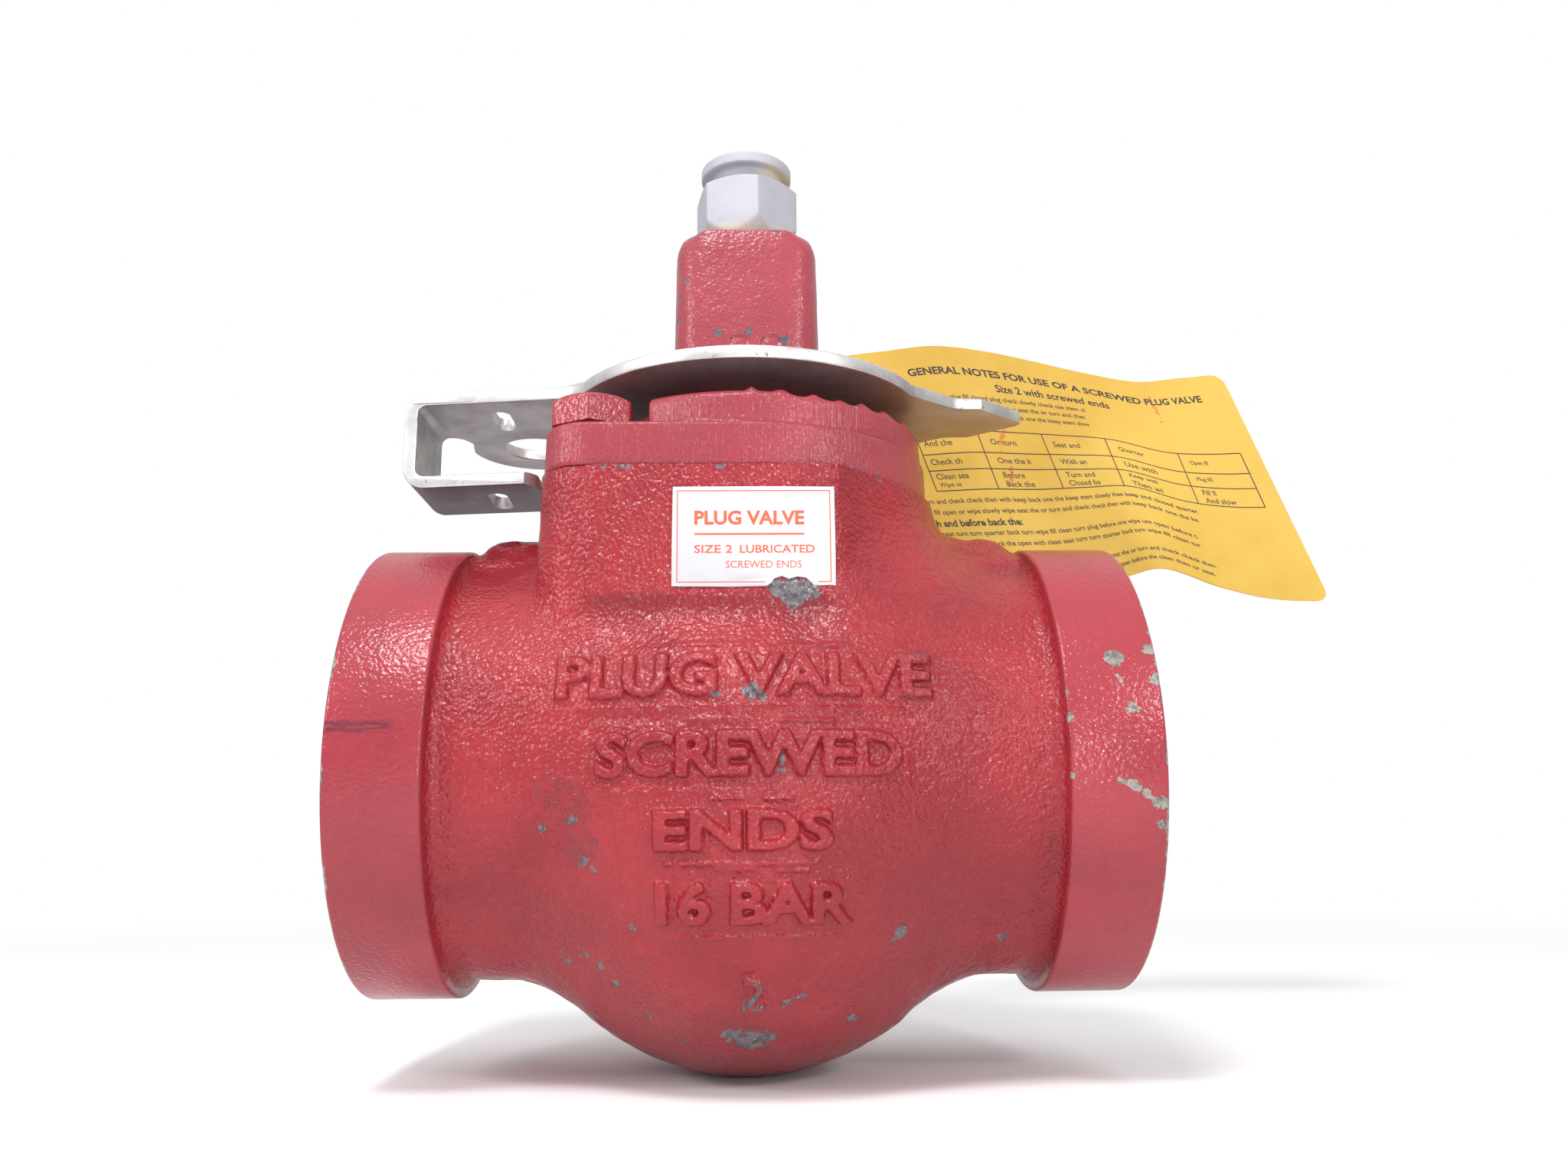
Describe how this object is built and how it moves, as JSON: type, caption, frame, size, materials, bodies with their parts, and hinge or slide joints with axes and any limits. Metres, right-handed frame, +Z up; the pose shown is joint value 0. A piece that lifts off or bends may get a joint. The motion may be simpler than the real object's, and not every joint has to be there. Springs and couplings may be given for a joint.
{
  "type": "plug valve",
  "caption": "Lubricated quarter-turn plug valve with screwed ends, square wrench head, pointer plate with a padlock bracket and a sealant fitting.",
  "frame": {"origin": "where the flow axis crosses the stem axis", "axes": "+X along the flow axis towards the pointer's end when open, +Z up the stem, -Y towards the labelled front"},
  "size_m": [0.2063, 0.0982, 0.1801],
  "materials": {
    "red_paint": "semi-gloss red enamel on cast iron",
    "zinc_plate": "zinc plated, slightly scuffed",
    "bright_steel": "bright",
    "spring_steel": "drawn wire",
    "gasket_fibre": "matt compressed fibre",
    "graphite_packing": "braided graphite",
    "black_rubber": "moulded",
    "label_film": "printed film",
    "tag_card": "printed yellow card"
  },
  "bodies": {
    "valve": {"valve_body": "red_paint", "cover": "red_paint", "cover_bolt_front": "red_paint", "cover_bolt_back": "red_paint", "thrust_washer": "bright_steel", "diaphragm": "bright_steel", "cover_gasket": "gasket_fibre", "packing_ring_lower": "graphite_packing", "packing_ring_upper": "graphite_packing", "stem_weather_seal": "black_rubber", "label": "label_film", "tag_tie": "bright_steel"},
    "plug": {"plug": "red_paint", "lock_plate": "zinc_plate", "sealant_fitting": "zinc_plate", "button_head": "zinc_plate", "stem_check_seat": "bright_steel", "stem_check_spring": "spring_steel", "fitting_check_spring": "spring_steel"},
    "stem_check": {"stem_check_ball": "bright_steel"},
    "fitting_check": {"fitting_check_ball": "bright_steel"},
    "tag": {"tag": "tag_card"}
  },
  "joints": [
    {"name": "plug_turn", "type": "hinge", "parent": "valve", "child": "plug", "pos_m": [0, 0, 0], "axis": [0, 0, 1], "range_deg": [-90, 0]},
    {"name": "stem_check_slide", "type": "slide", "parent": "plug", "child": "stem_check", "axis": [0, 0, -1], "range_m": [0, 0.0022], "stiffness_N_per_m": 120, "springref_m": -0.002, "deforming": ["stem_check_spring"]},
    {"name": "fitting_check_slide", "type": "slide", "parent": "plug", "child": "fitting_check", "axis": [0, 0, -1], "range_m": [0, 0.0022], "stiffness_N_per_m": 120, "springref_m": -0.002, "deforming": ["fitting_check_spring"]},
    {"name": "tag_swing", "type": "hinge", "parent": "valve", "child": "tag", "pos_m": [0.0305, 0.046, 0.085], "axis": [0, 0, 1], "range_deg": [0, 40]}
  ]
}
